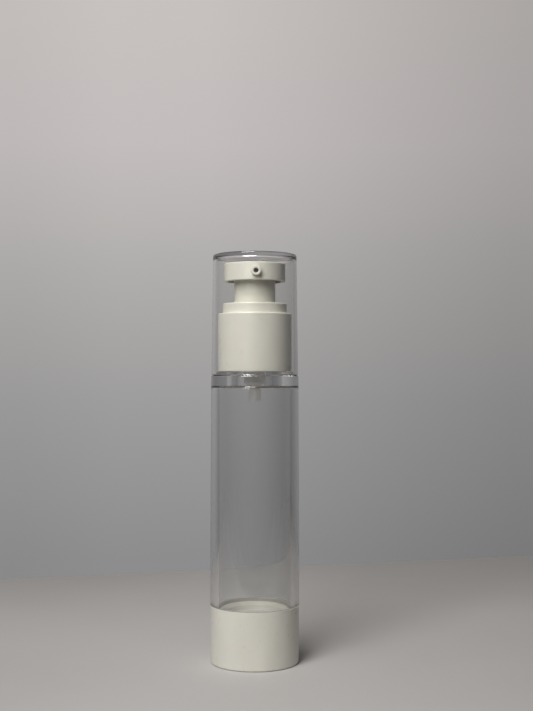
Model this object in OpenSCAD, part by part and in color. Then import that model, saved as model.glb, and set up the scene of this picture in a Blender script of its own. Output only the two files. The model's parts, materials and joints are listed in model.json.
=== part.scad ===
// Airless pump bottle: a clear barrel with a follower piston, a finger pump and a clear overcap.
// Millimetres, +Z up. The origin is the centre of the foot, and the spout points along -Y.

/* [Barrel] */
// Inner diameter of the barrel, in which the follower piston slides
bore_d = 27; // [26:0.1:30]
// Wall of the clear barrel at its shoulder
barrel_wall = 3; // [2.8:0.1:4]
// Extra wall of the clear barrel at its foot
barrel_flare = 0.25; // [0:0.05:0.6]
// Visible length of the clear barrel, from the base cap to the shoulder
barrel_len = 85.9; // [60:0.1:120]
// Thickness of the solid clear shoulder
shoulder_t = 4.1; // [2.5:0.1:6]
// Rounding of the shoulder's outer edge
shoulder_round = 0.9; // [0.3:0.1:1.1]
// Height of the spigot above the shoulder
spigot_h = 1.2; // [0.8:0.1:2]
// Wall of the barrel's skirt inside the base cap
skirt_wall = 1.75; // [1.4:0.05:1.8]
// Height of the barrel's skirt above the base cap's floor
skirt_lift = 1.1; // [0.5:0.1:4]

/* [Neck] */
// Bore of the neck
neck_bore_d = 13.6; // [12.4:0.1:14]
// Wall of the neck
neck_wall = 2.1; // [1.6:0.1:2.2]
// Height of the neck above the shoulder
neck_h = 13.5; // [11:0.1:14]

/* [Base cap] */
// Step in radius from the barrel's foot in to the base cap
base_inset = 0.2; // [0:0.05:0.3]
// Height of the base cap
base_h = 21.6; // [20:0.1:26]
// Thickness of the base cap's floor
base_floor = 1.4; // [1:0.1:1.8]
// Depth of the recess under the floor
foot_recess = 0.9; // [0.5:0.1:1.2]
// Width of the foot rim
foot_w = 2.2; // [1.6:0.1:3]
// Rounding of the foot's outer edge
foot_round = 0.7; // [0.3:0.1:1]
// Diameter of the vent hole that lets air in under the follower piston
vent_d = 2; // [1:0.1:3]
// Wall of the ring on which the follower piston rests
stop_wall = 1; // [0.8:0.1:1.4]
// Number of ribs inside that ring
stop_ribs = 6; // [3:1:8]

/* [Follower piston] */
// Height of the follower piston
follower_h = 11; // [9:0.1:12]
// Top of the follower piston below the top of the base cap, when the bottle is full
follower_drop = 1.2; // [0.4:0.1:3]
// Height of each sealing lip
lip_h = 2.2; // [1.6:0.1:3]
// Depth of the waist between the lips
waist_depth = 0.9; // [0.5:0.1:1.2]
// Wall of the follower piston
follower_wall = 1.1; // [0.9:0.1:1.3]
// Width of the flat rim on top of the follower piston
follower_rim_w = 1.1; // [0.8:0.1:1.6]
// Width of the sloped ledge inside the rim
ledge_w = 2.35; // [1.5:0.05:3]
// Depth of the dished floor below the rim
dish_depth = 2.9; // [2:0.1:3.2]

/* [Collar] */
// Height of the collar sleeve up to its step
collar_h = 21.7; // [20.5:0.1:26]
// Step in radius from the collar in to its upper part
step_inset = 1.8; // [1.4:0.1:2.2]
// Height of the upper step
step_h = 3.8; // [2.8:0.1:5]
// Wall of the collar sleeve
collar_wall = 1.2; // [1:0.1:1.3]
// Rounding of the collar's visible edges
collar_round = 0.5; // [0.2:0.1:0.8]
// Room for the screw thread between the neck and the screw ring
thread_room = 1.25; // [1:0.05:1.3]
// Wall of the inner screw ring
closure_wall = 1.2; // [0.9:0.1:1.3]
// Thickness of the screw ring's web over the pump's flange
closure_web = 1.2; // [0.9:0.1:1.3]
// Number of grip ribs on the screw ring
closure_ribs = 16; // [8:1:20]
// Width of a grip rib
closure_rib_w = 1; // [0.6:0.1:1.4]
// Height of a grip rib, up to the sleeve
closure_rib_h = 1.3; // [0.9:0.1:1.4]

/* [Pump] */
// Bore of the pump chamber
chamber_d = 6.5; // [6.3:0.1:6.8]
// Wall of the pump chamber
chamber_wall = 0.8; // [0.6:0.1:1]
// Outer diameter of the inlet stub
stub_d = 4.7; // [4:0.1:5.2]
// Bore of the inlet stub
stub_bore_d = 2; // [1.6:0.1:2.1]
// Length of the inlet stub below the roof of the barrel
stub_len = 5.6; // [4:0.1:5.7]
// Diameter of the inlet valve's ball
ball_d = 3; // [2.9:0.1:3.4]
// Lift of the ball
ball_lift = 0.5; // [0.3:0.05:0.6]
// Reach of the pump's flange past the neck
flange_lip = 0.2; // [0:0.1:0.6]
// Thickness of the pump's flange
flange_t = 1.2; // [0.9:0.1:1.5]
// Thickness of the neck gasket
gasket_t = 0.6; // [0.4:0.1:1]
// Stroke of the pump
stroke = 7; // [4:0.1:7.1]
// Free play of the piston seal on its rod
seal_play = 0.75; // [0.6:0.05:0.9]
// Height of the piston seal
seal_h = 2.4; // [1.8:0.1:2.8]
// Diameter of the piston rod
rod_d = 2.96; // [2.6:0.02:3]
// Bore of the piston rod
rod_bore_d = 1.6; // [1.2:0.1:1.7]
// Diameter of the piston rod's closing head
rod_head_d = 4.6; // [4.2:0.1:5]
// Outer diameter of the stem
stem_d = 4.5; // [4.4:0.1:4.7]
// Bore of the stem above the rod
stem_bore_d = 2.4; // [2:0.1:2.5]
// Height of the pump chamber above the flange
gland_h = 3.6; // [3:0.1:4]
// Wall of the gland ring
gland_wall = 0.95; // [0.7:0.05:1]

/* [Spring] */
// Mean diameter of the return spring
spring_d = 7.8; // [7.6:0.1:8.2]
// Diameter of the spring's wire
wire_d = 0.7; // [0.5:0.05:0.8]
// Number of coils
spring_coils = 5.5; // [4:0.5:6]

/* [Actuator] */
// Diameter of the finger pad
pad_d = 23; // [21:0.1:23.4]
// Height of the finger pad
pad_h = 6.7; // [6:0.1:8]
// Rounding of the finger pad's edges
pad_round = 0.3; // [0.2:0.05:0.7]
// Outer diameter of the actuator's skirt
skirt_d = 15.5; // [15:0.1:15.8]
// Wall of the actuator's skirt and rim
actuator_wall = 1.1; // [0.9:0.1:1.2]
// Thickness of the finger pad's top
pad_top_t = 1.3; // [1:0.1:1.6]
// Number of ribs between the skirt and the rim
pad_ribs = 8; // [4:1:10]

/* [Spout] */
// Outer diameter of the spout tube
nozzle_d = 3.6; // [2.8:0.1:3.6]
// Bore of the spout tube
nozzle_bore_d = 1.8; // [1.2:0.1:2]
// Length of the spout tube outside the finger pad
nozzle_out = 1.8; // [1:0.1:2.2]
// Length of the spout tube inside the finger pad
nozzle_in = 2.6; // [2:0.1:3]
// Axis of the spout below the top of the finger pad
nozzle_drop = 3.4; // [3.3:0.1:3.6]

/* [Overcap] */
// Step in radius from the barrel's shoulder in to the overcap
overcap_inset = 0.15; // [0:0.05:0.3]
// Wall of the overcap at its open end
overcap_foot_wall = 1.45; // [1.2:0.05:1.6]
// Wall of the overcap at its top
overcap_wall = 1.2; // [1:0.1:1.2]
// Draft of the overcap, as the fall in radius from its open end to its top
overcap_draft = 0.55; // [0.1:0.05:0.6]
// Thickness of the overcap's top
overcap_top_t = 1.4; // [1:0.1:2]
// Rounding of the overcap's top edge
overcap_round = 0.6; // [0.3:0.1:1]
// Headroom over the finger pad
headroom = 2.1; // [1:0.1:5]

/* [Clearances] */
// Radial running clearance of shafts, lips and guides
run_gap = 0.05; // [0.03:0.01:0.08]
// Gap between two pieces that rest on each other and move apart
seat_gap = 0.05; // [0.02:0.01:0.08]
// Radial clearance of a press fit, drawn just clear
fit_gap = 0.02; // [0.01:0.01:0.03]
// Radial clearance between pieces that pass each other
pass_gap = 0.35; // [0.3:0.05:0.4]
// Radial clearance between the spigot and the overcap
spigot_gap = 0.3; // [0.2:0.05:0.4]
// Gap left between the collar and the finger pad at the end of the stroke
press_spare = 1.3; // [0.5:0.1:3]
// Gap left between the pump's flange and the actuator's skirt at the end of the stroke
skirt_spare = 1.8; // [0.5:0.1:3]
// Radial clearance between the gland ring and the actuator's skirt
gland_gap = 0.45; // [0.35:0.05:0.6]
// Gap left between the follower piston and the barrel's roof when the bottle is empty
follower_spare = 0.3; // [0.2:0.1:1]
// Radial clearance round the inlet stub in the follower piston's well
well_gap = 2.15; // [1.5:0.05:2.6]

/* [Hidden] */
$fn = 96;
// Overlap that fuses two shapes of one piece
weld = 0.3;
// Small chamfer on moulded edges
edge = 0.25;

// Heights of the bottle
shoulder_z = base_h + barrel_len;
roof_z = shoulder_z - shoulder_t;
spigot_z = shoulder_z + spigot_h;
neck_z = shoulder_z + neck_h;
floor_z = foot_recess + base_floor;
skirt_z = floor_z + skirt_lift;

// Radii of the bottle
bore_r = bore_d / 2;
barrel_top_r = bore_r + barrel_wall;
barrel_foot_r = barrel_top_r + barrel_flare;
barrel_skirt_r = bore_r + skirt_wall;
base_r = barrel_foot_r - base_inset;
overcap_foot_r = barrel_top_r - overcap_inset;
overcap_top_r = overcap_foot_r - overcap_draft;
overcap_in_foot = overcap_foot_r - overcap_foot_wall;
overcap_in_top = overcap_top_r - overcap_wall;
spigot_r = overcap_in_foot - spigot_gap;
neck_bore_r = neck_bore_d / 2;
neck_r = neck_bore_r + neck_wall;
roof_round = 0.5;

// Follower piston
lip_r = bore_r - run_gap;
waist_r = lip_r - waist_depth;
follower_in_r = waist_r - follower_wall;
follower_top = base_h - follower_drop;
follower_z = follower_top - follower_h;
dish_z = follower_top - dish_depth;
dish_slope = 1;
rim_r = lip_r - follower_rim_w;
rim_fall = 1.4;
ledge_r = rim_r - ledge_w;
dish_r = ledge_r - dish_slope;
well_r = stub_d / 2 + well_gap;
well_z = follower_top - stub_len - 2 * follower_spare;
follower_travel = roof_z - follower_top - follower_spare;
echo(follower_travel = follower_travel);
stop_r = follower_in_r + stop_wall;
stop_z = follower_z - seat_gap;

// Pump heights
gasket_z = neck_z + seat_gap;
flange_z = gasket_z + gasket_t;
flange_top = flange_z + flange_t;
stub_z = roof_z - stub_len;
gland_seat_z = flange_top + gland_h;
gland_t = 1;
gland_top = gland_seat_z + gland_t;
gland_foot = 0.2;

// Pump radii
chamber_r = chamber_d / 2;
chamber_or = chamber_r + chamber_wall;
stub_r = stub_d / 2;
stub_bore_r = stub_bore_d / 2;
flange_r = neck_r + flange_lip;
plug_r = neck_bore_r - run_gap;
plug_wall = 1;
plug_len = 2;
actuator_skirt_r = skirt_d / 2;
actuator_skirt_in = actuator_skirt_r - actuator_wall;
gland_r = actuator_skirt_in - gland_gap;
upstand_r = gland_r - gland_wall - fit_gap;

// Inlet valve, on a seat of 45 degrees
funnel_z = roof_z + 0.15;
funnel_h = chamber_r - stub_bore_r;
funnel_top = funnel_z + funnel_h;
shelf_z = funnel_z - 0.6;
ball_r = ball_d / 2;
ball_z = funnel_z - stub_bore_r + (ball_r + seat_gap) * sqrt(2);
cage_in_r = 1;
cage_gap = 0.1;
cage_z = ball_z + ball_lift + cage_gap + sqrt(ball_r * ball_r - cage_in_r * cage_in_r);
cage_h = 0.8;
cage_w = 0.7;
cage_fins = 4;
cage_top = cage_z + cage_h;

// Stem, rod and seal
stem_r = stem_d / 2;
stem_bore_r = stem_bore_d / 2;
guide_r = stem_r + run_gap;
guide_len = 3.7;
guide_z = gland_seat_z - guide_len;
stop_collar_r = chamber_r - pass_gap;
stop_collar_h = 1;
stop_collar_z = guide_z - seat_gap - stop_collar_h;
rod_r = rod_d / 2;
rod_bore_r = rod_bore_d / 2;
rod_head_r = rod_head_d / 2;
rod_head_h = 1.1;
rod_z = cage_top + stroke + pass_gap;
seal_z = rod_z + rod_head_h + seat_gap;
stem_z = seal_z + seal_h + seal_play + seat_gap;
rod_in = 4.2;
rod_top = stem_z + rod_in;
port_r = 0.3;
port_z = rod_z + rod_head_h + port_r + 0.1;
seal_r = chamber_r - run_gap;
seal_waist = 0.35;
seal_lip = 0.55;

// Collar and closure
closure_in_r = neck_r + thread_room;
closure_r = closure_in_r + closure_wall;
collar_z = spigot_z + seat_gap;
collar_in_r = closure_r + closure_rib_h;
collar_r = collar_in_r + collar_wall;
step_z = collar_z + collar_h;
collar_top = step_z + step_h;
step_r = collar_r - step_inset;
step_in_r = step_r - collar_wall;
opening_r = actuator_skirt_r + pass_gap;
sleeve_seat_z = step_z - collar_wall;
closure_lift = 0.6;
closure_z = spigot_z + closure_lift;
web_z = flange_top + seat_gap;
web_top = web_z + closure_web;
rib_end = 1;

// Actuator
pad_z = collar_top + stroke + press_spare;
pad_top = pad_z + pad_h;
pad_r = pad_d / 2;
pad_rim_r = pad_r - actuator_wall;
pad_roof = pad_top - pad_top_t;
actuator_skirt_z = flange_top + stroke + skirt_spare;
spout_z = pad_top - nozzle_drop;
socket_gap = 0.03;
socket_r = stem_r + socket_gap;
outlet_step = 0.2;
outlet_r = 1;
stem_top = spout_z - outlet_r - outlet_step;
spring_side = 0.3;
spring_guide_r = spring_d / 2 - wire_d / 2 - spring_side;
spring_seat_r = spring_d / 2 + wire_d / 2 + spring_side;
spring_seat_drop = 2.7;
spring_seat_z = pad_z - spring_seat_drop;
spring_guide_len = 1.8;
outlet_top = spout_z + outlet_r;
pad_rib_w = 0.9;
pad_rib_h = 3.6;

// Spout
nozzle_r = nozzle_d / 2;
nozzle_bore_r = nozzle_bore_d / 2;
nozzle_tip = pad_r + nozzle_out;
nozzle_end = pad_r - nozzle_in;
boss_wall = 0.9;
boss_r = nozzle_r + boss_wall;
outlet_end = 0.2;

// Overcap
overcap_z = shoulder_z + seat_gap;
overcap_roof = pad_top + headroom;
overcap_top = overcap_roof + overcap_top_t;
overcap_in_round = 0.8;

// Spring
spring_z0 = gland_top + seat_gap + wire_d / 2;
spring_z1 = spring_seat_z - seat_gap - wire_d / 2;
spring_rings = 8;
spring_sides = 6;
spring_steps = round(spring_coils * spring_rings);

// Points of an arc about (r, z), of a given radius, from one angle to another
function arc(r, z, size, from, to, steps = 6) = [
    for (i = [0 : steps])
        let (a = from + (to - from) * i / steps)
        [r + size * cos(a), z + size * sin(a)]
];

// One ring of the spring's wire, square to the helix
function wire_ring(i) =
    let (turn = 360 * spring_coils * i / spring_steps)
    let (z = spring_z0 + (spring_z1 - spring_z0) * i / spring_steps)
    [
        for (k = [0 : spring_sides - 1])
            let (a = 360 * (k + 0.5) / spring_sides)
            let (r = spring_d / 2 + wire_d / 2 * cos(a))
            [r * cos(turn), r * sin(turn), z + wire_d / 2 * sin(a)]
    ];

spring_points = [for (i = [0 : spring_steps]) each wire_ring(i)];
spring_pitch = (spring_z1 - spring_z0) / spring_coils;
echo(spring_gap = spring_pitch - wire_d);

// A solid of revolution from a profile of [radius, height] points
module turned(points) {
    rotate_extrude() polygon(points);
}

// Flat blades round the axis, from one radius to another
module blades(count, from, to, width, low, high, start = 0) {
    for (i = [0 : count - 1])
        rotate([0, 0, start + 360 * i / count])
            translate([from, -width / 2, low])
                cube([to - from, width, high - low]);
}

// White base with its foot rim, vent and the ring that carries the follower piston
module base_cap() {
    cup_r = barrel_skirt_r + fit_gap;
    rim_in = base_r - foot_round - foot_w;
    stop_in = stop_r - stop_wall;
    rib_h = 3;
    rib_w = 1;
    rib_start = 1.5;
    hub_r = vent_d / 2 + rib_start;
    color("white") union() {
        turned(concat(
            [[rim_in, 0]],
            arc(base_r - foot_round, foot_round, foot_round, -90, 0),
            [[base_r, base_h - edge], [base_r - edge, base_h], [cup_r, base_h], [cup_r, floor_z]],
            [[stop_r, floor_z], [stop_r, stop_z], [stop_in, stop_z], [stop_in, floor_z]],
            [[vent_d / 2, floor_z], [vent_d / 2, foot_recess], [rim_in, foot_recess]]
        ));
        blades(stop_ribs, hub_r, stop_in + weld, rib_w, floor_z - weld, floor_z + rib_h);
    }
}

// Clear barrel with its solid shoulder, spigot and neck
module bottle_barrel() {
    color("lightcyan", 0.35) turned(concat(
        [[bore_r, skirt_z], [barrel_skirt_r - edge, skirt_z], [barrel_skirt_r, skirt_z + edge]],
        [[barrel_skirt_r, base_h], [barrel_foot_r - edge, base_h], [barrel_foot_r, base_h + edge]],
        arc(barrel_top_r - shoulder_round, shoulder_z - shoulder_round, shoulder_round, 0, 90),
        [[spigot_r, shoulder_z], [spigot_r, spigot_z - edge], [spigot_r - edge, spigot_z]],
        [[neck_r, spigot_z], [neck_r, neck_z - edge], [neck_r - edge, neck_z]],
        [[neck_bore_r, neck_z], [neck_bore_r, roof_z]],
        arc(bore_r - roof_round, roof_z - roof_round, roof_round, 90, 0)
    ));
}

// White piston that follows the product up the barrel
module follower_piston() {
    crown_z = dish_z - follower_wall;
    lip_edge = 0.3;
    lip_flat = 1;
    color("white") turned([
        [0, well_z - follower_wall],
        [well_r + follower_wall, well_z - follower_wall],
        [well_r + follower_wall, crown_z],
        [dish_r, crown_z],
        [follower_in_r, crown_z + dish_slope],
        [follower_in_r, follower_z],
        [lip_r - lip_edge, follower_z],
        [lip_r, follower_z + lip_edge],
        [lip_r, follower_z + lip_flat],
        [waist_r, follower_z + lip_h],
        [waist_r, follower_top - lip_h],
        [lip_r, follower_top - lip_flat],
        [lip_r, follower_top - lip_edge],
        [lip_r - lip_edge, follower_top],
        [rim_r, follower_top],
        [ledge_r, follower_top - rim_fall],
        [dish_r, dish_z],
        [well_r + edge, dish_z],
        [well_r, dish_z - edge],
        [well_r, well_z + edge],
        [well_r - edge, well_z],
        [0, well_z]
    ]);
}

// Pump chamber with its inlet stub, ball seat, flange, plug seal and the fins over the ball
module pump_housing() {
    color("gainsboro") union() {
        turned([
            [stub_bore_r, stub_z],
            [stub_r - edge, stub_z],
            [stub_r, stub_z + edge],
            [stub_r, shelf_z],
            [chamber_or, shelf_z + chamber_or - stub_r],
            [chamber_or, flange_z],
            [plug_r - plug_wall, flange_z],
            [plug_r - plug_wall, flange_z - plug_len],
            [plug_r - edge, flange_z - plug_len],
            [plug_r, flange_z - plug_len + edge],
            [plug_r, flange_z],
            [flange_r, flange_z],
            [flange_r, flange_top],
            [upstand_r, flange_top],
            [upstand_r, gland_seat_z],
            [chamber_r, gland_seat_z],
            [chamber_r, funnel_top],
            [stub_bore_r, funnel_z]
        ]);
        blades(cage_fins, cage_in_r, chamber_r + weld, cage_w, cage_z, cage_top, 45);
    }
}

// Flat ring between the neck and the pump's flange
module neck_gasket() {
    color("silver") translate([0, 0, gasket_z]) difference() {
        cylinder(h = gasket_t, r = neck_r - edge);
        translate([0, 0, -1]) cylinder(h = gasket_t + 2, r = neck_bore_r + fit_gap);
    }
}

// Ball of the inlet valve
module inlet_ball() {
    color("lightgray") translate([0, 0, ball_z]) sphere(r = ball_r);
}

// Rod pressed into the stem, with a closing head and two side ports
module piston_rod() {
    nose = 0.4;
    color("whitesmoke") difference() {
        turned([
            [0, rod_z],
            [rod_head_r - nose, rod_z],
            [rod_head_r, rod_z + nose],
            [rod_head_r, rod_z + rod_head_h],
            [rod_r, rod_z + rod_head_h],
            [rod_r, rod_top],
            [rod_bore_r, rod_top],
            [rod_bore_r, port_z - port_r],
            [0, port_z - port_r]
        ]);
        translate([-rod_r - 1, 0, port_z]) rotate([0, 90, 0]) cylinder(h = 2 * rod_r + 2, r = port_r, $fn = 24);
    }
}

// Double-lipped ring that slides in the chamber and floats on the rod
module piston_seal() {
    top = seal_z + seal_h;
    middle = seal_z + seal_h / 2;
    color("gainsboro") turned([
        [rod_r + run_gap, seal_z],
        [seal_r - seal_lip, seal_z],
        [seal_r - seal_lip, seal_z + seal_lip],
        [seal_r - edge, seal_z],
        [seal_r, seal_z],
        [seal_r, seal_z + seal_lip],
        [seal_r - seal_waist, middle],
        [seal_r, top - seal_lip],
        [seal_r, top],
        [seal_r - edge, top],
        [seal_r - seal_lip, top - seal_lip],
        [seal_r - seal_lip, top],
        [rod_r + run_gap, top]
    ]);
}

// Hollow stem with the collar that the gland ring retains
module stem() {
    color("whitesmoke") turned([
        [rod_r + fit_gap, stem_z],
        [stem_r, stem_z],
        [stem_r, stop_collar_z],
        [stop_collar_r, stop_collar_z],
        [stop_collar_r, stop_collar_z + stop_collar_h],
        [stem_r, stop_collar_z + stop_collar_h],
        [stem_r, stem_top - edge],
        [stem_r - edge, stem_top],
        [stem_bore_r, stem_top],
        [stem_bore_r, rod_top],
        [rod_r + fit_gap, rod_top]
    ]);
}

// Cap on the pump chamber that guides the stem
module gland_ring() {
    color("whitesmoke") turned([
        [guide_r, guide_z],
        [chamber_r - run_gap, guide_z],
        [chamber_r - run_gap, gland_seat_z],
        [upstand_r + fit_gap, gland_seat_z],
        [upstand_r + fit_gap, flange_top + gland_foot],
        [gland_r, flange_top + gland_foot],
        [gland_r, gland_top - edge],
        [gland_r - edge, gland_top],
        [guide_r, gland_top]
    ]);
}

// Return spring as one unbroken wire round the stem
module return_spring() {
    last = spring_steps * spring_sides;
    color("darkgray") polyhedron(
        points = spring_points,
        faces = concat(
            [[for (k = [0 : spring_sides - 1]) spring_sides - 1 - k]],
            [[for (k = [0 : spring_sides - 1]) last + k]],
            [
                for (i = [0 : spring_steps - 1], k = [0 : spring_sides - 1])
                    let (n = (k + 1) % spring_sides)
                    let (row = i * spring_sides)
                    [row + k, row + n, row + spring_sides + n, row + spring_sides + k]
            ]
        ),
        convexity = 8
    );
}

// Inner screw ring with its web over the pump's flange and the ribs that grip the sleeve
module closure_ring() {
    color("white") union() {
        turned([
            [closure_in_r, closure_z],
            [closure_r, closure_z],
            [closure_r, sleeve_seat_z],
            [closure_in_r, sleeve_seat_z],
            [closure_in_r, web_top],
            [opening_r, web_top],
            [opening_r, web_z],
            [closure_in_r, web_z]
        ]);
        blades(closure_ribs, closure_r - weld, collar_in_r - fit_gap, closure_rib_w,
            closure_z + rib_end, sleeve_seat_z - rib_end);
    }
}

// White stepped sleeve with the opening for the actuator's skirt
module collar_sleeve() {
    color("white") turned(concat(
        [[collar_in_r, collar_z], [collar_r - edge, collar_z], [collar_r, collar_z + edge]],
        arc(collar_r - collar_round, step_z - collar_round, collar_round, 0, 90),
        [[step_r, step_z]],
        arc(step_r - collar_round, collar_top - collar_round, collar_round, 0, 90),
        [[opening_r + edge, collar_top], [opening_r, collar_top - edge], [opening_r, collar_top - collar_wall]],
        [[step_in_r, collar_top - collar_wall], [step_in_r, sleeve_seat_z], [collar_in_r, sleeve_seat_z]]
    ));
}

// Finger pad with its skirt, stem socket, spring seat and outlet
module actuator() {
    color("white") difference() {
        union() {
            turned(concat(
                [[actuator_skirt_in, actuator_skirt_z], [actuator_skirt_r - edge, actuator_skirt_z]],
                [[actuator_skirt_r, actuator_skirt_z + edge], [actuator_skirt_r, pad_roof]],
                [[pad_rim_r, pad_roof], [pad_rim_r, pad_z]],
                arc(pad_r - pad_round, pad_z + pad_round, pad_round, -90, 0),
                arc(pad_r - pad_round, pad_top - pad_round, pad_round, 0, 90),
                [[0, pad_top], [0, pad_roof], [actuator_skirt_in, pad_roof]]
            ));
            translate([0, 0, spring_seat_z]) cylinder(h = pad_top - edge - spring_seat_z, r = spring_seat_r);
            translate([0, 0, spring_seat_z - spring_guide_len])
                cylinder(h = spring_guide_len + weld, r = spring_guide_r);
            translate([0, 0, spout_z]) rotate([90, 0, 0]) cylinder(h = pad_rim_r + weld, r = boss_r);
            blades(pad_ribs, actuator_skirt_r - weld, pad_rim_r + weld, pad_rib_w,
                pad_roof - pad_rib_h, pad_roof + weld, 360 / pad_ribs / 2 - 90);
        }
        translate([0, 0, spring_seat_z - spring_guide_len - 1])
            cylinder(h = stem_top - spring_seat_z + spring_guide_len + 1 + seat_gap, r = socket_r);
        translate([0, 0, stem_top]) cylinder(h = outlet_top - stem_top, r = stem_bore_r);
        translate([0, outlet_end, spout_z]) rotate([90, 0, 0]) cylinder(h = pad_r, r = outlet_r);
        translate([0, -nozzle_end, spout_z]) rotate([90, 0, 0]) cylinder(h = pad_r, r = nozzle_r + fit_gap);
    }
}

// Short spout tube pressed into the rim of the finger pad
module nozzle_insert() {
    color("white") translate([0, 0, spout_z]) rotate([90, 0, 0]) turned([
        [nozzle_bore_r, nozzle_end],
        [nozzle_r, nozzle_end],
        [nozzle_r, nozzle_tip - edge],
        [nozzle_r - edge, nozzle_tip],
        [nozzle_bore_r + edge / 2, nozzle_tip],
        [nozzle_bore_r, nozzle_tip - edge / 2]
    ]);
}

// Clear overcap that stands on the shoulder and is centred by the spigot
module overcap() {
    color("lightcyan", 0.3) turned(concat(
        [[overcap_in_foot, overcap_z], [overcap_foot_r - edge, overcap_z]],
        [[overcap_foot_r, overcap_z + edge]],
        arc(overcap_top_r - overcap_round, overcap_top - overcap_round, overcap_round, 0, 90),
        [[0, overcap_top], [0, overcap_roof]],
        arc(overcap_in_top - overcap_in_round, overcap_roof - overcap_in_round, overcap_in_round, 90, 0)
    ));
}

base_cap();
bottle_barrel();
follower_piston();
pump_housing();
neck_gasket();
inlet_ball();
piston_rod();
piston_seal();
stem();
gland_ring();
return_spring();
closure_ring();
collar_sleeve();
actuator();
nozzle_insert();
overcap();
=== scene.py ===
"""Looks of a clear airless pump bottle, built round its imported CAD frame.

Sizes are in millimetres and become metres where a mesh is made. The bottle stands on the origin,
its axis is +Z and its spout points along -Y.
"""

import json
import logging
import math
from dataclasses import dataclass, field
from enum import Enum
from typing import Sequence

import bmesh
import bpy
from mathutils import Matrix, Vector

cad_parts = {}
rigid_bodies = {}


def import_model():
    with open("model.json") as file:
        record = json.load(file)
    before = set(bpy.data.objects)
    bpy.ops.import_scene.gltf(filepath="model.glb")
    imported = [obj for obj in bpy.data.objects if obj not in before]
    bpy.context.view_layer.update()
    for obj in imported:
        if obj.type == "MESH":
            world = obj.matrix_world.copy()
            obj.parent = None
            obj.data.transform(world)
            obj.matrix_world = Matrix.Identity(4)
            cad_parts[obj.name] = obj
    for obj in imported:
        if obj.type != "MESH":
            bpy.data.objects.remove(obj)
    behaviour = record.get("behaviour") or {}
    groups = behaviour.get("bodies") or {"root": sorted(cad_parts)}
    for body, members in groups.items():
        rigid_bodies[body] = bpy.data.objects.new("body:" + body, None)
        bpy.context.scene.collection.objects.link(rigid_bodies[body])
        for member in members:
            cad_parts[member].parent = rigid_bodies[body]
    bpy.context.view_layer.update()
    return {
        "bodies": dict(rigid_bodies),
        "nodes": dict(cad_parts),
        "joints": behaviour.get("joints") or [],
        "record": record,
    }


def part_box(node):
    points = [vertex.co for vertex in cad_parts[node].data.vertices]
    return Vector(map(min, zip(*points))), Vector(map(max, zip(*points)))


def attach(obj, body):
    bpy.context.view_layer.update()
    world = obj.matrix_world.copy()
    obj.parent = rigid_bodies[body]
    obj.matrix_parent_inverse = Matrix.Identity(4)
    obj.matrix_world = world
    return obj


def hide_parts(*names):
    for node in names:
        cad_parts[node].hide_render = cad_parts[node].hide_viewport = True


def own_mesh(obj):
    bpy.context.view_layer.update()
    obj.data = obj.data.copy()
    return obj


LOG = logging.getLogger("bottle")
MM = 0.001
Triple = tuple[float, float, float]
Span = tuple[float, float]
Colour = Triple
Stops = tuple[tuple[float, Colour], ...]


def grey(level: float) -> Colour:
    """A neutral colour."""
    return (level, level, level)


class Ring(Enum):
    """How many steps a turned piece has round its axis."""

    SMALL = 72
    SHELL = 192
    CLEAR = 256


class Body(Enum):
    """The bodies that the new pieces ride on."""

    BOTTLE = "bottle"
    FOLLOWER = "follower"
    PUMP = "pump_module"
    CLOSURE = "closure"
    HEAD = "head"
    CAP = "cap"


class Ray(Enum):
    """Kinds of rays that a shader can tell apart."""

    CAMERA = "Is Camera Ray"
    SHADOW = "Is Shadow Ray"
    DIFFUSE = "Is Diffuse Ray"
    GLOSSY = "Is Glossy Ray"
    TRANSMISSION = "Is Transmission Ray"


class Edge(float, Enum):
    """Roundings of turned edges, in millimetres."""

    KEEN = 0.06
    CRISP = 0.1
    NEAT = 0.12
    EASED = 0.15
    SOFT = 0.2
    DULL = 0.25
    FILLET = 0.3


class Sock:
    """A shader socket that takes part in Python arithmetic."""

    def __init__(self, board: "Board", socket: bpy.types.NodeSocket) -> None:
        """Keeps the socket and the board that it is on."""
        self.board = board
        self.socket = socket

    def _math(self, operation: str, first: object, second: object) -> "Sock":
        """Adds one Math node on two values."""
        return self.board.node("ShaderNodeMath", {"operation": operation}, {0: first, 1: second})

    def __add__(self, other: object) -> "Sock":
        """Sum."""
        return self._math("ADD", self, other)

    def __radd__(self, other: object) -> "Sock":
        """Sum with a number on the left."""
        return self._math("ADD", other, self)

    def __sub__(self, other: object) -> "Sock":
        """Difference."""
        return self._math("SUBTRACT", self, other)

    def __rsub__(self, other: object) -> "Sock":
        """Difference from a number on the left."""
        return self._math("SUBTRACT", other, self)

    def __mul__(self, other: object) -> "Sock":
        """Product."""
        return self._math("MULTIPLY", self, other)

    def __rmul__(self, other: object) -> "Sock":
        """Product with a number on the left."""
        return self._math("MULTIPLY", other, self)

    def most(self, other: object) -> "Sock":
        """The larger of two values."""
        return self._math("MAXIMUM", self, other)

    def within(self, low: float, high: float) -> "Sock":
        """Smooth share of the way between two values.

        Args:
            low: The value that gives 0.
            high: The value that gives 1.

        Returns:
            The share.
        """
        settings = {"interpolation_type": "SMOOTHSTEP"}
        sockets = {0: self, 1: low, 2: high, 3: 0.0, 4: 1.0}
        return self.board.node("ShaderNodeMapRange", settings, sockets)


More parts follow.
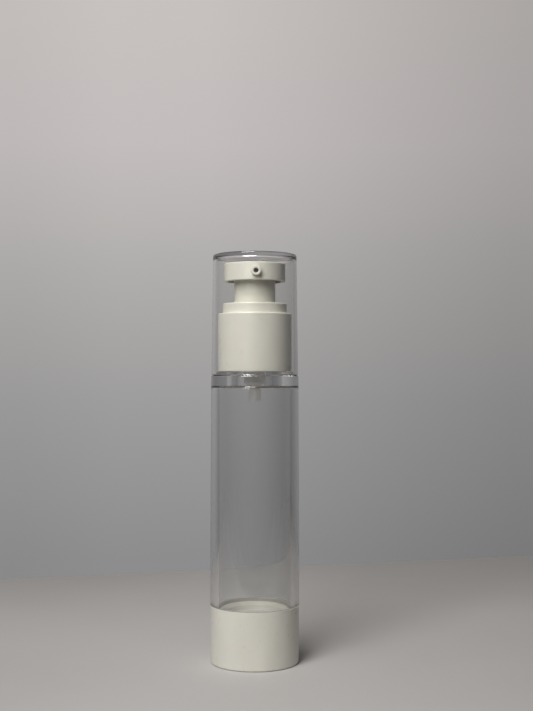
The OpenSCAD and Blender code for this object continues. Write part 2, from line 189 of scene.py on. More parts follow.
class Board:
    """A node tree that is written one node at a time."""

    def __init__(self, owner: bpy.types.Material | bpy.types.World) -> None:
        """Clears the tree.

        Args:
            owner: The material or world that owns it.
        """
        owner.use_nodes = True
        self.tree = owner.node_tree
        self.tree.nodes.clear()
        kind = "World" if isinstance(owner, bpy.types.World) else "Material"
        self.output = f"ShaderNodeOutput{kind}"

    def node(
        self,
        kind: str,
        settings: dict[str, object] | None = None,
        sockets: dict[str | int, object] | None = None,
        output: str | int = 0,
    ) -> Sock:
        """Adds a node.

        Args:
            kind: The node's type.
            settings: Its own settings, with a ramp's stops under "stops".
            sockets: Values or links of its input sockets.
            output: Which output is returned.

        Returns:
            The chosen output.
        """
        made = self.tree.nodes.new(kind)
        for key, value in (settings or {}).items():
            if key == "stops":
                self._fill_ramp(made.color_ramp, value)
            else:
                setattr(made, key, value)
        for key, value in (sockets or {}).items():
            if isinstance(value, Sock):
                self.tree.links.new(value.socket, made.inputs[key])
            else:
                made.inputs[key].default_value = value
        return Sock(self, made.outputs[output] if made.outputs else None)

    @staticmethod
    def _fill_ramp(ramp: bpy.types.ColorRamp, stops: Stops) -> None:
        """Writes a colour ramp's stops.

        Args:
            ramp: The ramp.
            stops: Places from 0 to 1 and their colours.
        """
        while len(ramp.elements) < len(stops):
            ramp.elements.new(1.0)
        for element, (place, colour) in zip(ramp.elements, stops):
            element.position = place
            element.color = (*colour, 1.0)

    def place(self) -> Sock:
        """The point on the piece, in metres."""
        return self.node("ShaderNodeTexCoord", output="Object")

    def axes(self, point: Sock) -> list[Sock]:
        """The x, y and z of a point."""
        apart = self.node("ShaderNodeSeparateXYZ", sockets={0: point}).socket.node
        return [Sock(self, output) for output in apart.outputs]

    def noise(self, cells: float, detail: float, stretch: Triple = (1.0, 1.0, 1.0)) -> Sock:
        """Noise on the piece's own coordinates.

        Args:
            cells: Cells per metre.
            detail: Octaves.
            stretch: Scale along each axis.

        Returns:
            A value round 0.5.
        """
        point = self.node("ShaderNodeMapping", sockets={"Vector": self.place(), "Scale": stretch})
        sockets = {"Vector": point, "Scale": cells, "Detail": detail}
        return self.node("ShaderNodeTexNoise", sockets=sockets)

    def ramp(self, place: Sock, stops: Stops) -> Sock:
        """The colour at a place from 0 to 1 along a row of stops."""
        return self.node("ShaderNodeValToRGB", {"stops": stops}, {0: place})

    def blend(
        self, share: Sock | float, low: Sock | Colour, high: Sock | Colour, mode: str = "MIX"
    ) -> Sock:
        """Mixes two colours.

        Args:
            share: How much the second one counts, from 0 to 1.
            low: The first colour.
            high: The second colour.
            mode: The kind of blend.

        Returns:
            The mixed colour.
        """
        first, second = (paint if isinstance(paint, Sock) else (*paint, 1.0) for paint in (low, high))
        settings = {"data_type": "RGBA", "blend_type": mode}
        return self.node("ShaderNodeMix", settings, {0: share, 6: first, 7: second}, output=2)

    def bump(self, height: Sock, depth_mm: float) -> Sock:
        """Turns a height from 0 to 1 into a normal."""
        sockets = {"Height": height, "Strength": 1.0, "Distance": depth_mm * MM}
        return self.node("ShaderNodeBump", sockets=sockets)

    def light_path(self, ray: Ray) -> Sock:
        """1 where the arriving ray is of this kind."""
        return self.node("ShaderNodeLightPath", output=ray.value)

    def close(self, shader: Sock) -> None:
        """Links the finished shader to the output."""
        self.node(self.output, sockets={"Surface": shader})


@dataclass(frozen=True)
class Finish:
    """A surface finish, whose material is made once."""

    name: str
    slot: str

    def shade(self, board: Board) -> Sock:
        """Writes the nodes of the finish, in each kind of finish."""
        raise NotImplementedError

    def material(self) -> bpy.types.Material:
        """Makes the material of this finish, or finds it again.

        Returns:
            The material.
        """
        if self not in MADE:
            MADE[self] = bpy.data.materials.new(self.name)
            board = Board(MADE[self])
            board.close(self.shade(board))
        return MADE[self]


@dataclass(frozen=True)
class MouldedPlastic(Finish):
    """Satin moulded polyolefin, white or translucent, with grain, flow marks and handling shine, and
    where set a painted glow and painted shade in a gap.
    """

    low: Colour = (0.815, 0.802, 0.722)
    high: Colour = (0.855, 0.842, 0.762)
    rough: float = 0.29
    rough_spread: float = 0.1
    rub_cells: float = 480.0
    rub_detail: float = 4.0
    grain_cells: float = 5200.0
    grain_detail: float = 2.0
    grain_mm: float = 0.006
    flow_cells: float = 120.0
    flow_detail: float = 3.0
    flow_stretch: Triple = (1.0, 1.0, 0.35)
    flow_range: Span = (0.3, 0.7)
    flow_mm: float = 0.05
    ior: float = 1.49
    glow: float = 0.0
    alpha: float = 1.0
    # Emission: a painted glow, standing in for light that clear parts carry in.
    lit: float = 0.0
    painted_glow_tone: Colour = (1.0, 0.985, 0.955)
    depth_share: float = 0.4
    depth_mm: float = 0.8
    depth_tone: Colour = (1.0, 0.9, 0.7)
    # Painted shade on a ring face in a gap between two parts, where the lamp's light hardly reaches.
    gap_shade_in_r: float = 0.0
    gap_shade_out_r: float = 0.0
    gap_shade_low_z: float = 0.0
    gap_shade_fade_z: float = 1.0
    gap_shade_fade_in: float = 0.995
    gap_shade_fade_out: float = 1.01
    gap_shade_tone: Colour = (0.4, 0.385, 0.35)

    def shade(self, board: Board) -> Sock:
        """Writes the nodes.

        Args:
            board: The material's node tree.

        Returns:
            The shader.
        """
        flow = board.noise(self.flow_cells, self.flow_detail, self.flow_stretch)
        grain = board.noise(self.grain_cells, self.grain_detail)
        rub = board.noise(self.rub_cells, self.rub_detail)
        relief = grain * self.grain_mm + flow * self.flow_mm
        colour = board.blend(flow.within(*self.flow_range), self.low, self.high)
        # Painted shade in the gap between two parts.
        if self.gap_shade_out_r:
            colour = board.blend(self._gap_shade(board), colour, self.gap_shade_tone)
        sockets = {
            "Base Color": colour,
            "Roughness": rub * self.rough_spread + (self.rough - 0.5 * self.rough_spread),
            "IOR": self.ior,
            "Transmission Weight": self.glow,
            "Alpha": self.alpha,
            # Painted glow.
            "Emission Color": (*self.painted_glow_tone, 1.0),
            "Emission Strength": self.lit,
            "Subsurface Weight": self.depth_share,
            "Subsurface Radius": self.depth_tone,
            "Subsurface Scale": self.depth_mm * MM,
            "Normal": board.bump(relief, 1.0),
        }
        return board.node("ShaderNodeBsdfPrincipled", sockets=sockets)

    def _gap_shade(self, board: Board) -> Sock:
        """Where painted shade darkens a ring face in the gap between two parts.

        Args:
            board: The material's node tree.

        Returns:
            1 on the ring face between the two radii, 0 elsewhere.
        """
        x, y, z = board.axes(board.place())
        reach = x * x + y * y
        inner, outer = (self.gap_shade_in_r * MM) ** 2, (self.gap_shade_out_r * MM) ** 2
        past_inner = reach.within(inner * self.gap_shade_fade_in, inner)
        past_outer = reach.within(outer, outer * self.gap_shade_fade_out)
        above = z.within(self.gap_shade_low_z * MM, (self.gap_shade_low_z + self.gap_shade_fade_z) * MM)
        return past_inner * (1.0 - past_outer) * above


@dataclass(frozen=True)
class ClearPlastic(Finish):
    """Polished clear plastic, with faint flow waves, light scuffs and a painted veil that stands in
    for light from the white parts below and fades upward.
    """

    tint: Colour = (0.945, 0.945, 0.943)
    shadow: Colour = (0.975, 0.975, 0.97)
    ior: float = 1.57
    polish: float = 0.012
    scuff: float = 0.05
    scuff_cells: float = 700.0
    scuff_detail: float = 5.0
    scuff_stretch: Triple = (1.0, 1.0, 0.25)
    scuff_range: Span = (0.62, 0.8)
    wave_cells: float = 45.0
    wave_detail: float = 1.0
    wave_stretch: Triple = (1.0, 1.0, 0.4)
    wave_mm: float = 0.02
    painted_veil: float = 0.0
    painted_veil_low_mm: float = 18.0
    painted_veil_high_mm: float = 75.0
    painted_veil_tone: Colour = (0.85, 0.84, 0.83)

    def shade(self, board: Board) -> Sock:
        """Writes the nodes.

        Args:
            board: The material's node tree.

        Returns:
            The shader.
        """
        scuffs = board.noise(self.scuff_cells, self.scuff_detail, self.scuff_stretch)
        scuffs = scuffs.within(*self.scuff_range)
        wave = board.noise(self.wave_cells, self.wave_detail, self.wave_stretch)
        sockets = {
            "Base Color": (*self.tint, 1.0),
            "Roughness": scuffs * self.scuff + self.polish,
            "IOR": self.ior,
            "Transmission Weight": 1.0,
            "Normal": board.bump(wave, self.wave_mm),
        }
        solid = board.node("ShaderNodeBsdfPrincipled", sockets=sockets)
        # Painted light: a pale diffuse veil, strongest low down, for light from the white parts below.
        if self.painted_veil:
            _, _, high = board.axes(board.place())
            veil = (1.0 - high.within(self.painted_veil_low_mm * MM, self.painted_veil_high_mm * MM)) * self.painted_veil
            dull = board.node("ShaderNodeBsdfDiffuse", sockets={"Color": (*self.painted_veil_tone, 1.0)})
            solid = board.node("ShaderNodeMixShader", sockets={0: veil, 1: solid, 2: dull})
        ghost = board.node("ShaderNodeBsdfTransparent", sockets={"Color": (*self.shadow, 1.0)})
        share = board.light_path(Ray.SHADOW).most(board.light_path(Ray.DIFFUSE))
        return board.node("ShaderNodeMixShader", sockets={0: share, 1: solid, 2: ghost})


@dataclass(frozen=True)
class DrawnSteel(Finish):
    """Bright drawn spring steel with fine lines along the wire."""

    colour: Colour = (0.62, 0.62, 0.63)
    rough: float = 0.2
    rough_spread: float = 0.15
    line_cells: float = 4000.0
    line_detail: float = 3.0
    line_stretch: Triple = (1.0, 1.0, 4.0)
    line_mm: float = 0.002

    def shade(self, board: Board) -> Sock:
        """Writes the nodes.

        Args:
            board: The material's node tree.

        Returns:
            The shader.
        """
        lines = board.noise(self.line_cells, self.line_detail, self.line_stretch)
        sockets = {
            "Base Color": (*self.colour, 1.0),
            "Metallic": 1.0,
            "Roughness": lines * self.rough_spread + self.rough,
            "Normal": board.bump(lines, self.line_mm),
        }
        return board.node("ShaderNodeBsdfPrincipled", sockets=sockets)


@dataclass(frozen=True)
class TableTop(Finish):
    """Plain matt table, with painted light that makes it paler towards the back and the right."""

    low: Colour = (0.45, 0.437, 0.432)
    high: Colour = (0.63, 0.611, 0.603)
    painted_light_back_range: Span = (-0.07, 0.1)
    painted_light_back_share: float = 0.45
    painted_light_right_range: Span = (-0.11, 0.0)
    painted_light_right_share: float = 0.35
    mottle_cells: float = 9.0
    mottle_detail: float = 4.0
    mottle_range: Span = (0.35, 0.65)
    mottle_share: float = 0.1
    rough: float = 0.6
    rough_spread: float = 0.1
    grain_cells: float = 900.0
    grain_detail: float = 2.0
    grain_mm: float = 0.02

    def shade(self, board: Board) -> Sock:
        """Writes the nodes.

        Args:
            board: The material's node tree.

        Returns:
            The shader.
        """
        mottle = board.noise(self.mottle_cells, self.mottle_detail)
        grain = board.noise(self.grain_cells, self.grain_detail)
        x, y, _ = board.axes(board.place())
        # Painted light: paler towards the back and the right, standing in for a gentler falloff of the
        # lamp's light.
        share = y.within(*self.painted_light_back_range) * self.painted_light_back_share
        share = share + x.within(*self.painted_light_right_range) * self.painted_light_right_share
        share = share + mottle.within(*self.mottle_range) * self.mottle_share
        sockets = {
            "Base Color": board.blend(share, self.low, self.high),
            "Roughness": grain * self.rough_spread + self.rough,
            "Normal": board.bump(grain, self.grain_mm),
        }
        return board.node("ShaderNodeBsdfPrincipled", sockets=sockets)


MADE: dict[Finish, bpy.types.Material] = {}
WHITE = MouldedPlastic("satin_white", "white_shell")
# A little darker than the satin white, as painted shade, with painted shade on its top face in the gap
# under the barrel.
BASE_WHITE_PAINTED_SHADE = MouldedPlastic(
    "base_white_painted_shade",
    "white_shell",
    low=(0.785, 0.772, 0.7),
    high=(0.825, 0.812, 0.74),
    gap_shade_in_r=15.38,
    gap_shade_out_r=16.42,
    gap_shade_low_z=3.0,
)
# A darker copy of the satin white: painted shade for the light that the clear barrel holds back.
FOLLOWER_WHITE_PAINTED_SHADE = MouldedPlastic(
    "follower_white_painted_shade", "white_follower", low=(0.70, 0.685, 0.62), high=(0.74, 0.725, 0.66), rough=0.42
)
# Translucent natural plastic, with a faint painted glow for the light that the clear shoulder carries
# in to it.
NATURAL = MouldedPlastic(
    "natural_satin",
    "natural_plastic",
    low=(0.76, 0.75, 0.72),
    high=(0.8, 0.79, 0.76),
    rough=0.34,
    glow=0.3,
    alpha=0.55,
    lit=0.05,
)
LINER = MouldedPlastic("liner", "gasket", low=(0.7, 0.7, 0.68), high=(0.76, 0.76, 0.74), rough=0.7)
LIP_PLASTIC = MouldedPlastic(
    "lip_plastic", "soft_seal", low=(0.66, 0.66, 0.64), high=(0.72, 0.72, 0.7), rough=0.5
)
# Its veil is painted light from the white base and follower below.
CLEAR_BARREL = ClearPlastic(
    "barrel_clear", "clear_barrel", tint=(0.878, 0.88, 0.878), shadow=(0.86, 0.86, 0.855), painted_veil=0.04
)
CLEAR_CAP = ClearPlastic("overcap_clear", "clear_overcap")
STEEL = DrawnSteel("spring_steel", "steel")
TABLE = TableTop("table_top", "")


@dataclass(frozen=True)
class Corner:
    """A corner of a turned profile: radius, height and the rounding of that edge."""

    r: float
    z: float
    soft: float = 0.0


class Blank:
    """A mesh in the making, in millimetres."""

    JOIN = 1e-4
    NEAR = 1e-3
    SHARP_DEG = 38.0
    ROUND_STEPS = 4
    WIRE_SIDES = 12

    def __init__(self) -> None:
        """Starts empty."""
        self.bm = bmesh.new()

    @classmethod
    def turned(cls, corners: Sequence[Corner], ring: Ring) -> "Blank":
        """Turns a closed profile round +Z and rounds its edges.

        Args:
            corners: The profile, in order. One that starts and ends on the axis is left open there.
            ring: Steps round the axis.

        Returns:
            The closed shape.
        """
        made = cls()
        points = [made.bm.verts.new((corner.r, 0.0, corner.z)) for corner in corners]
        last = len(points) - (1 if corners[0].r == corners[-1].r == 0.0 else 0)
        edges = [made.bm.edges.new((points[i], points[(i + 1) % len(points)])) for i in range(last)]
        bmesh.ops.spin(
            made.bm,
            geom=points + edges,
            cent=(0, 0, 0),
            axis=(0, 0, 1),
            angle=math.tau,
            steps=ring.value,
            use_merge=True,
        )
        made._close()
        for soft in sorted({corner.soft for corner in corners if corner.soft > 0.0}):
            made._round([corner for corner in corners if corner.soft == soft], soft)
        return made

    def _close(self) -> None:
        """Merges points that coincide and turns all faces outward."""
        bmesh.ops.remove_doubles(self.bm, verts=self.bm.verts, dist=self.JOIN)
        bmesh.ops.recalc_face_normals(self.bm, faces=self.bm.faces)

    @classmethod
    def _stands_on(cls, vert: bmesh.types.BMVert, corner: Corner) -> bool:
        """Whether a point is on the circle of a corner."""
        reach = math.hypot(vert.co.x, vert.co.y)
        return abs(vert.co.z - corner.z) < cls.NEAR and abs(reach - corner.r) < cls.NEAR

    def _round(self, corners: Sequence[Corner], soft: float) -> None:
        """Bevels the circles that stand on some corners.

        Args:
            corners: The corners.
            soft: Rounding of all of them, in millimetres.
        """
        edges = [
            edge
            for edge in self.bm.edges
            if any(all(self._stands_on(vert, corner) for vert in edge.verts) for corner in corners)
        ]
        bmesh.ops.bevel(
            self.bm,
            geom=edges,
            offset=soft,
            offset_type="OFFSET",
            affect="EDGES",
            segments=self.ROUND_STEPS,
            profile=0.5,
            material=-1,
            clamp_overlap=True,
        )

    @classmethod
    def coil(
        cls, radius: float, wire: float, low: float, high: float, turns: float, per_turn: int
    ) -> "Blank":
        """Sweeps a round wire along a helix and closes its ends.

        Args:
            radius: Mean radius of the coil.
            wire: Diameter of the wire.
            low: Height of the wire's centre at the start.
            high: Height of the wire's centre at the end.
            turns: Number of turns.
            per_turn: Steps in a turn.

        Returns:
            The closed wire.
        """
        made = cls()
        turned = Matrix.Translation((radius, 0.0, low)) @ Matrix.Rotation(math.pi / 2, 4, "X")
        bmesh.ops.create_circle(
            made.bm, cap_ends=True, segments=cls.WIRE_SIDES, radius=wire / 2, matrix=turned
        )
        steps = round(turns * per_turn)
        bmesh.ops.spin(
            made.bm,
            geom=list(made.bm.faces),
            cent=(0, 0, 0),
            axis=(0, 0, 1),
            dvec=(0, 0, (high - low) / steps),
            angle=math.tau * turns,
            steps=steps,
        )
        made._close()
        return made

    def placed(self, matrix: Matrix) -> "Blank":
        """Moves the shape."""
        bmesh.ops.transform(self.bm, matrix=matrix, verts=self.bm.verts)
        return self

    def _corner_normals(self) -> list[Vector]:
        """Works out the normals of all face corners.

        The larger faces lead, so that what is seen through a long clear wall stays straight.

        Returns:
            A normal for each corner, in the order of the faces.
        """
        self.bm.normal_update()
        found: dict[bmesh.types.BMLoop, Vector] = {}
        for vert in self.bm.verts:
            waiting = {loop.face: loop for loop in vert.link_loops}
            while waiting:
                queue = [waiting.popitem()[1]]
                fan = []
                while queue:
                    loop = queue.pop()
                    fan.append(loop)
                    for edge in loop.face.edges:
                        if edge.smooth and vert in edge.verts:
                            queue += [waiting.pop(face) for face in edge.link_faces if face in waiting]
                total = Vector()
                for loop in fan:
                    total += loop.face.normal * (loop.face.calc_area() * loop.calc_angle())
                for loop in fan:
                    found[loop] = total.normalized()
        return [found[loop] for face in self.bm.faces for loop in face.loops]

    def piece(self, name: str) -> bpy.types.Object:
        """Makes the object, smooth apart from its sharp edges.

        Args:
            name: Name of the object and its mesh.

        Returns:
            The object at the origin, in metres.
        """
        sharp = math.radians(self.SHARP_DEG)
        for face in self.bm.faces:
            face.smooth = True
        for edge in self.bm.edges:
            edge.smooth = len(edge.link_faces) == 2 and edge.calc_face_angle(0.0) < sharp
        normals = self._corner_normals()
        bmesh.ops.scale(self.bm, vec=(MM, MM, MM), verts=self.bm.verts)
        mesh = bpy.data.meshes.new(name)
        self.bm.to_mesh(mesh)
        self.bm.free()
        mesh.normals_split_custom_set(normals)
        made = bpy.data.objects.new(name, mesh)
        bpy.context.scene.collection.objects.link(made)
        return made


def dress(made: bpy.types.Object, finish: Finish, body: Body, *nodes: str) -> None:
    """Finishes a new piece and seats it in the frame.

    Args:
        made: The piece.
        finish: Its finish.
        body: The body that it rides on.
        nodes: CAD nodes that it stands for.
    """
    made.data.materials.clear()
    made.data.materials.append(finish.material())
    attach(made, body.value)
    if nodes:
        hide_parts(*nodes)
    LOG.info("%s: %d faces, rides on %s", made.name, len(made.data.polygons), body.value)


def smooth_copy(frame: dict, node: str, name: str) -> bpy.types.Object:
    """A merged, smooth copy of a CAD node's mesh.

    Args:
        frame: The loaded frame.
        node: The node.
        name: Name of the copy.

    Returns:
        The copy.
    """
    made = Blank()
    made.bm.from_mesh(frame["nodes"][node].data)
    bmesh.ops.scale(made.bm, vec=(1 / MM, 1 / MM, 1 / MM), verts=made.bm.verts)
    bmesh.ops.remove_doubles(made.bm, verts=made.bm.verts, dist=Blank.JOIN)
    return made.piece(name)


def span(node: str) -> tuple[Vector, Vector]:
    """A node's lowest and highest corners in millimetres."""
    low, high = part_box(node)
    return Vector(low) / MM, Vector(high) / MM


@dataclass
class Base:
    """White base cap, with its foot rim, vent and follower rest."""

    wall: float = 1.28
    floor: float = 1.4
    recess: float = 0.9
    rim_w: float = 2.2
    foot_round: float = 0.7
    top_round: float = 0.08
    rest_r: float = 12.45
    rest_wall: float = 1.0
    rest_top: float = 9.35
    vent_r: float = 1.0
    joint_gap: float = 0.2

    def build(self) -> None:
        """Builds and dresses the base cap."""
        _, high = span("base_cap")
        outer = high.x
        top = high.z - self.joint_gap
        inner = outer - self.wall
        deck = self.recess + self.floor
        rim_in = outer - self.foot_round - self.rim_w
        corners = [
            Corner(rim_in, 0.0, Edge.SOFT),
            Corner(outer, 0.0, self.foot_round),
            Corner(outer, top, self.top_round),
            Corner(inner, top),
            Corner(inner, deck, Edge.FILLET),
            Corner(self.rest_r, deck),
            Corner(self.rest_r, self.rest_top, Edge.EASED),
            Corner(self.rest_r - self.rest_wall, self.rest_top, Edge.EASED),
            Corner(self.rest_r - self.rest_wall, deck),
            Corner(self.vent_r, deck, Edge.EASED),
            Corner(self.vent_r, self.recess, Edge.EASED),
            Corner(rim_in, self.recess, Edge.FILLET),
        ]
        made = Blank.turned(corners, Ring.SHELL).piece("base_shell")
        dress(made, BASE_WHITE_PAINTED_SHADE, Body.BOTTLE, "base_cap")


@dataclass
class Barrel:
    """Clear barrel with its solid shoulder, spigot and neck."""

    bore_r: float = 13.5
    skirt_r: float = 15.25
    top_r: float = 16.5
    shoulder_round: float = 0.9
    shoulder_t: float = 4.1
    spigot_r: float = 14.6
    spigot_h: float = 1.2
    neck_h: float = 13.5
    neck_r: float = 8.9
    neck_bore_r: float = 6.8
    roof_round: float = 1.0

    def build(self) -> None:
        """Builds and dresses the barrel."""
        low, high = span("bottle_barrel")
        base_top = span("base_cap")[1].z
        shoulder = high.z - self.neck_h
        spigot = shoulder + self.spigot_h
        roof = shoulder - self.shoulder_t
        corners = [
            Corner(self.bore_r, low.z, Edge.SOFT),
            Corner(self.skirt_r, low.z, Edge.SOFT),
            Corner(self.skirt_r, base_top),
            Corner(high.x, base_top, Edge.KEEN),
            Corner(self.top_r, shoulder, self.shoulder_round),
            Corner(self.spigot_r, shoulder, Edge.NEAT),
            Corner(self.spigot_r, spigot, Edge.DULL),
            Corner(self.neck_r, spigot, Edge.EASED),
            Corner(self.neck_r, high.z, Edge.DULL),
            Corner(self.neck_bore_r, high.z, Edge.EASED),
            Corner(self.neck_bore_r, roof, Edge.NEAT),
            Corner(self.bore_r, roof, self.roof_round),
        ]
        made = Blank.turned(corners, Ring.CLEAR).piece("barrel_shell")
        dress(made, CLEAR_BARREL, Body.BOTTLE, "bottle_barrel")


@dataclass
class Follower:
    """White follower piston with two lips, a dished floor and a well."""

    lip_h: float = 2.2
    lip_flat: float = 1.0
    lip_round: float = 0.8
    waist: float = 0.9
    wall: float = 1.1
    rim_w: float = 1.1
    ledge_w: float = 1.4
    ledge_fall: float = 1.4
    groove: float = 0.55
    dish_depth: float = 2.9
    dish_slope: float = 1.0
    well_r: float = 4.5
    well_depth: float = 6.2

    def build(self) -> None:
        """Builds and dresses the follower piston."""
        low, high = span("follower_piston")
        lip = high.x
        waist = lip - self.waist
        inside = waist - self.wall
        ledge = lip - self.rim_w - self.ledge_w
        dish = ledge - self.dish_slope
        floor = high.z - self.dish_depth
        crown = floor - self.wall
        well = high.z - self.well_depth
        well_out = self.well_r + self.wall
        corners = [
            Corner(0.0, well - self.wall),
            Corner(well_out, well - self.wall, Edge.SOFT),
            Corner(well_out, crown),
            Corner(dish, crown),
            Corner(inside, crown + self.dish_slope),
            Corner(inside, low.z, Edge.CRISP),
            Corner(lip, low.z, Edge.FILLET),
            Corner(lip, low.z + self.lip_flat, Edge.CRISP),
            Corner(waist, low.z + self.lip_h, Edge.CRISP),
            Corner(waist, high.z - self.lip_h, Edge.CRISP),
            Corner(lip, high.z - self.lip_flat, Edge.CRISP),
            Corner(lip, high.z, self.lip_round),
            Corner(lip - self.rim_w, high.z, Edge.SOFT),
            Corner(ledge, high.z - self.ledge_fall, Edge.CRISP),
            Corner(ledge, high.z - self.ledge_fall - self.groove, Edge.CRISP),
            Corner(ledge - self.groove, high.z - self.ledge_fall - self.groove, Edge.CRISP),
            Corner(ledge - self.groove, high.z - self.ledge_fall, Edge.EASED),
            Corner(dish, floor, Edge.FILLET),
            Corner(self.well_r, floor, Edge.DULL),
            Corner(self.well_r, well, Edge.DULL),
            Corner(0.0, well),
        ]
        made = Blank.turned(corners, Ring.SHELL).piece("follower_shell")
        dress(made, FOLLOWER_WHITE_PAINTED_SHADE, Body.FOLLOWER, "follower_piston")


@dataclass
class Collar:
    """White stepped collar sleeve."""

    wall: float = 1.2
    step_h: float = 3.8
    step_in: float = 1.8
    opening_r: float = 8.1
    edge_round: float = 0.4

    def build(self) -> None:
        """Builds and dresses the sleeve."""
        low, high = span("collar_sleeve")
        outer = high.x
        step = high.z - self.step_h
        step_r = outer - self.step_in
        seat = step - self.wall
        corners = [
            Corner(outer - self.wall, low.z, Edge.EASED),
            Corner(outer, low.z, Edge.DULL),
            Corner(outer, step, self.edge_round),
            Corner(step_r, step, Edge.NEAT),
            Corner(step_r, high.z, self.edge_round),
            Corner(self.opening_r, high.z, Edge.DULL),
            Corner(self.opening_r, high.z - self.wall),
            Corner(step_r - self.wall, high.z - self.wall),
            Corner(step_r - self.wall, seat),
            Corner(outer - self.wall, seat),
        ]
        made = Blank.turned(corners, Ring.SHELL).piece("collar_shell")
        dress(made, WHITE, Body.CLOSURE, "collar_sleeve")


@dataclass
class Head:
    """Finger pad with its skirt and the spout tube in its rim."""

    bore_r: float = 0.9

    def build(self, frame: dict) -> None:
        """Builds and dresses the head.

        Args:
            frame: The loaded frame.
        """
        dress(smooth_copy(frame, "actuator", "finger_pad"), WHITE, Body.HEAD, "actuator")
        low, high = span("nozzle_insert")
        radius = high.x
        axis_z = (low.z + high.z) / 2
        corners = [
            Corner(self.bore_r, -high.y),
            Corner(radius, -high.y, Edge.EASED),
            Corner(radius, -low.y, Edge.EASED),
            Corner(self.bore_r, -low.y, Edge.CRISP),
        ]
        turned = Matrix.Translation((0.0, 0.0, axis_z)) @ Matrix.Rotation(math.pi / 2, 4, "X")
        tube = Blank.turned(corners, Ring.SMALL).placed(turned)
        dress(tube.piece("spout_tube"), WHITE, Body.HEAD, "nozzle_insert")


@dataclass
class Pump:
    """Inner pump pieces: housing, stem, spring and the small seals."""

    coils: float = 5.5
    per_turn: int = 40
    wire: float = 0.7
    pressed_share: float = 0.42
    plain: dict[str, Finish] = field(
        default_factory=lambda: {
            "neck_gasket": LINER,
            "inlet_ball": STEEL,
            "piston_rod": NATURAL,
            "piston_seal": LIP_PLASTIC,
            "stem": NATURAL,
            "gland_ring": NATURAL,
            "closure_ring": WHITE,
        }
    )

    def build(self, frame: dict) -> None:
        """Builds and dresses the pump.

        Args:
            frame: The loaded frame.
        """
        dress(smooth_copy(frame, "pump_housing", "pump_chamber"), NATURAL, Body.PUMP, "pump_housing")
        low, high = span("return_spring")
        half = self.wire / 2
        coil = Blank.coil(
            high.x - half, self.wire, low.z + half, high.z - half, self.coils, self.per_turn
        )
        spring = coil.piece("spring_wire")
        dress(spring, STEEL, Body.PUMP, "return_spring")
        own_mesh(spring)
        for node, finish in self.plain.items():
            mesh = frame["nodes"][node].data
            mesh.materials.clear()
            mesh.materials.append(finish.material())
            LOG.info("%s: keeps its CAD shape", node)


@dataclass
class Overcap:
    """Clear overcap."""

    foot_wall: float = 1.45
    top_wall: float = 1.2
    draft: float = 0.55
    top_t: float = 1.4
    top_round: float = 0.6
    inner_round: float = 0.8

    def build(self) -> None:
        """Builds and dresses the overcap."""
        low, high = span("overcap")
        top_r = high.x - self.draft
        roof = high.z - self.top_t
        corners = [
            Corner(0.0, roof),
            Corner(top_r - self.top_wall, roof, self.inner_round),
            Corner(high.x - self.foot_wall, low.z, Edge.NEAT),
            Corner(high.x, low.z, Edge.DULL),
            Corner(top_r, high.z, self.top_round),
            Corner(0.0, high.z),
        ]
        made = Blank.turned(corners, Ring.CLEAR).piece("overcap_shell")
        dress(made, CLEAR_CAP, Body.CAP, "overcap")


BACKDROP_RISE: Stops = (
    (0.0, grey(0.2)),
    (0.35, (0.255, 0.251, 0.257)),
    (0.40, (0.282, 0.277, 0.28)),
    (0.48, (0.323, 0.316, 0.318)),
    (0.59, (0.405, 0.397, 0.388)),
    (0.70, (0.515, 0.484, 0.48)),
    (0.80, (0.538, 0.507, 0.494)),
    (1.0, (0.55, 0.52, 0.505)),
)
BACKDROP_ACROSS: Stops = (
    (0.0, grey(0.62)),
    (0.09, grey(0.65)),
    (0.19, grey(0.95)),
    (0.25, grey(1.04)),
    (0.40, grey(1.0)),
    (0.44, grey(1.06)),
    (0.48, grey(1.05)),
    (0.525, grey(0.96)),
    (0.57, grey(0.85)),
    (0.61, grey(0.76)),
    (0.75, grey(0.7)),
    (0.91, grey(0.52)),
)


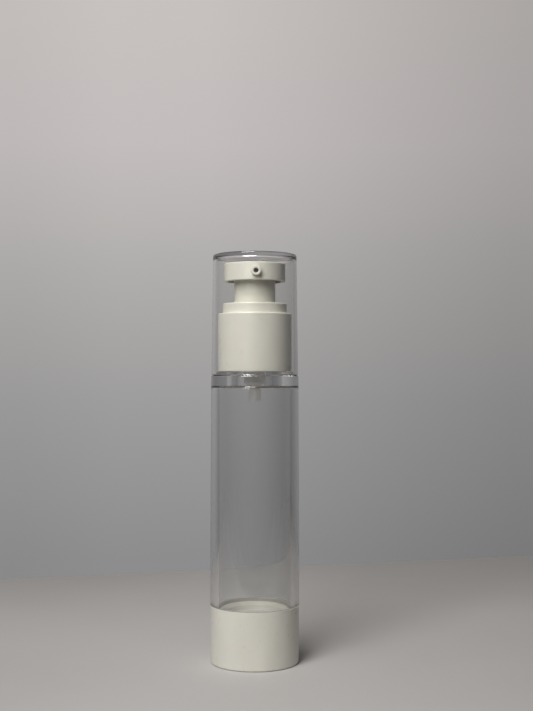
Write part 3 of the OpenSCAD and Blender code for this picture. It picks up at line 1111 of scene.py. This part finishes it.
@dataclass
class Studio:
    """Table, soft key light, surround and camera, in metres."""

    camera_at: Triple = (0.0, -0.434, 0.1056)
    yaw_deg: float = -0.583
    pitch_deg: float = 1.22
    turn_deg: float = -1.9
    lens: float = 58.23
    sensor: float = 36.0
    key_azimuth_deg: float = -26.5
    key_height_deg: float = 46.0
    key_far: float = 0.4
    key_width: float = 0.18
    key_tall: float = 0.5
    key_power: float = 2.56
    key_tone: Colour = (1.0, 0.985, 0.96)
    aim_z: float = 0.146
    fill_front: Colour = grey(0.006)
    fill_back: Colour = grey(0.08)
    fill_range: Span = (0.0, 0.8)
    room: Colour = grey(0.25)
    room_range: Span = (-0.5, 0.35)
    level_range: Span = (0.04, 0.2)
    level_share: float = 0.6
    table_far_left: Span = (-0.6, 0.0577)
    table_far_right: Span = (0.6, 0.3718)
    table_near: float = -0.16
    table_t_mm: float = 25.0

    def build(self) -> None:
        """Makes the whole studio."""
        self._table()
        self._key()
        self._surround()
        self._camera()

    def _turn(self) -> Matrix:
        """The turn of the whole studio about the bottle's axis."""
        return Matrix.Rotation(math.radians(self.turn_deg), 4, "Z")

    def _table(self) -> None:
        """Lays the table, whose back edge runs a little aslant."""
        made = Blank()
        left, right = self.table_far_left, self.table_far_right
        points = [
            (left[0], self.table_near, 0.0),
            (right[0], self.table_near, 0.0),
            (right[0], right[1], 0.0),
            (left[0], left[1], 0.0),
        ]
        top = made.bm.faces.new([made.bm.verts.new(Vector(point) / MM) for point in points])
        slab = bmesh.ops.extrude_face_region(made.bm, geom=[top])
        lowered = [item for item in slab["geom"] if isinstance(item, bmesh.types.BMVert)]
        bmesh.ops.translate(made.bm, vec=(0.0, 0.0, -self.table_t_mm), verts=lowered)
        bmesh.ops.recalc_face_normals(made.bm, faces=made.bm.faces)
        made.placed(self._turn())
        table = made.piece("table")
        table.data.materials.append(TABLE.material())

    def _key(self) -> None:
        """Hangs the soft box in front on the left."""
        turn = math.radians(self.key_azimuth_deg)
        height = math.radians(self.key_height_deg)
        level = math.cos(height)
        out = Vector((math.sin(turn) * level, -math.cos(turn) * level, math.sin(height)))
        out = self._turn() @ out
        lamp = bpy.data.lights.new("key", "AREA")
        lamp.shape = "RECTANGLE"
        lamp.size = self.key_width
        lamp.size_y = self.key_tall
        lamp.energy = self.key_power
        lamp.color = self.key_tone
        made = bpy.data.objects.new("key", lamp)
        made.location = Vector((0.0, 0.0, self.aim_z)) + out * self.key_far
        made.rotation_euler = out.to_track_quat("Z", "Y").to_euler()
        bpy.context.scene.collection.objects.link(made)

    def _surround(self) -> None:
        """Makes the grey backdrop, the darker room in front of it and the weak fill."""
        world = bpy.data.worlds.new("surround")
        bpy.context.scene.world = world
        board = Board(world)
        way = board.node("ShaderNodeTexCoord", output="Generated")
        sockets = {"Vector": way, "Rotation": (0.0, 0.0, -math.radians(self.turn_deg))}
        way = board.node("ShaderNodeVectorRotate", {"rotation_type": "EULER_XYZ"}, sockets)
        side, ahead, high = board.axes(way)
        rise = board.ramp(high + 0.5, BACKDROP_RISE)
        across = board.ramp(side * 0.5 + 0.5, BACKDROP_ACROSS)
        drop = board.blend(1.0, rise, across, "MULTIPLY")
        level = (1.0 - (high * high).within(*self.level_range)) * self.level_share
        lit = ahead.within(*self.room_range).most(level).most(board.light_path(Ray.CAMERA))
        seen = board.blend(1.0, drop, board.blend(lit, self.room, grey(1.0)), "MULTIPLY")
        looking = board.light_path(Ray.CAMERA).most(board.light_path(Ray.GLOSSY))
        looking = looking.most(board.light_path(Ray.TRANSMISSION))
        fill = board.blend(ahead.within(*self.fill_range), self.fill_front, self.fill_back)
        colour = board.blend(looking, fill, seen)
        board.close(board.node("ShaderNodeBackground", sockets={"Color": colour}))

    def _camera(self) -> None:
        """Sets the camera at the photograph's angle."""
        lens = bpy.data.cameras.new("camera")
        lens.sensor_width = self.sensor
        lens.sensor_fit = "AUTO"
        lens.lens = self.lens
        made = bpy.data.objects.new("camera", lens)
        made.location = self._turn() @ Vector(self.camera_at)
        tilt = math.radians(90.0 + self.pitch_deg)
        made.rotation_euler = (tilt, 0.0, math.radians(self.yaw_deg + self.turn_deg))
        bpy.context.scene.collection.objects.link(made)
        bpy.context.scene.camera = made


def main() -> None:
    """Builds the bottle on its frame, then the studio."""
    logging.basicConfig(level=logging.INFO, format="%(name)s: %(message)s")
    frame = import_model()
    bpy.context.scene.view_settings.view_transform = "Standard"
    Base().build()
    Barrel().build()
    Follower().build()
    Collar().build()
    Head().build(frame)
    Pump().build(frame)
    Overcap().build()
    Studio().build()


if __name__ == "__main__":
    main()
